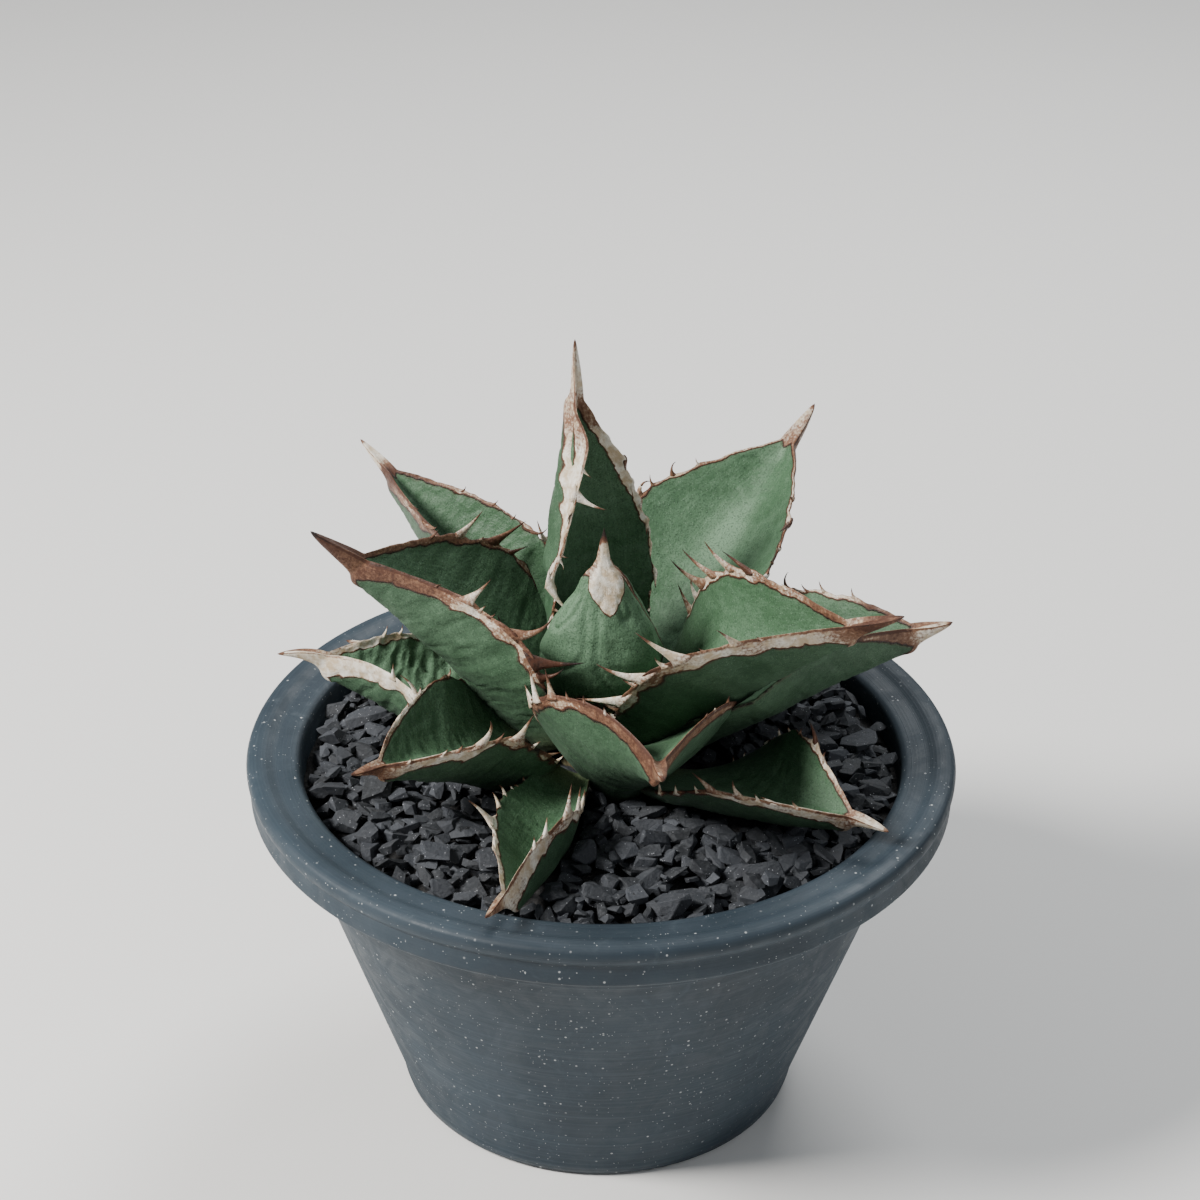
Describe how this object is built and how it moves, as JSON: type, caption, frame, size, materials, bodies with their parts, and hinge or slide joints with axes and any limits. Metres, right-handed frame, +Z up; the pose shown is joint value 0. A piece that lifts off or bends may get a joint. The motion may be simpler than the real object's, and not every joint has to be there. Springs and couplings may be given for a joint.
{
  "type": "potted agave",
  "caption": "Compact toothed agave with spined, trough-shaped leaves, growing in a round wide-rimmed dark pot dressed with crushed stone.",
  "frame": {"origin": "centre of the pot's foot, on the surface that the pot stands on", "axes": "+Z up; -Y towards the front of the plant; +X to the right seen from the front"},
  "size_m": [0.16, 0.16, 0.1828],
  "materials": {
    "pot": "charcoal blue-grey, satin, turned rings on the rim, fine white dust",
    "screen": "black moulded mesh disc",
    "soil": "gritty dark potting mix",
    "stone": "crushed charcoal slate with fine bright specks",
    "stem": "pale fibrous crown and brown roots",
    "leaf": "powdery blue-green skin, horny tan to red-brown margins, teeth and spines"
  },
  "bodies": {
    "root": {"bud": "leaf", "chip_01": "stone", "chip_02": "stone", "chip_03": "stone", "chip_04": "stone", "chip_05": "stone", "chip_06": "stone", "chip_07": "stone", "chip_08": "stone", "chip_09": "stone", "chip_10": "stone", "chip_11": "stone", "chip_12": "stone", "chip_13": "stone", "chip_14": "stone", "chip_15": "stone", "drain_screen": "screen", "dressing": "stone", "leaf_01": "leaf", "leaf_02": "leaf", "leaf_03": "leaf", "leaf_04": "leaf", "leaf_05": "leaf", "leaf_06": "leaf", "leaf_07": "leaf", "leaf_08": "leaf", "leaf_09": "leaf", "leaf_10": "leaf", "leaf_11": "leaf", "leaf_12": "leaf", "leaf_13": "leaf", "leaf_14": "leaf", "leaf_15": "leaf", "leaf_16": "leaf", "pot": "pot", "stem": "stem", "substrate": "soil"}
  },
  "joints": []
}
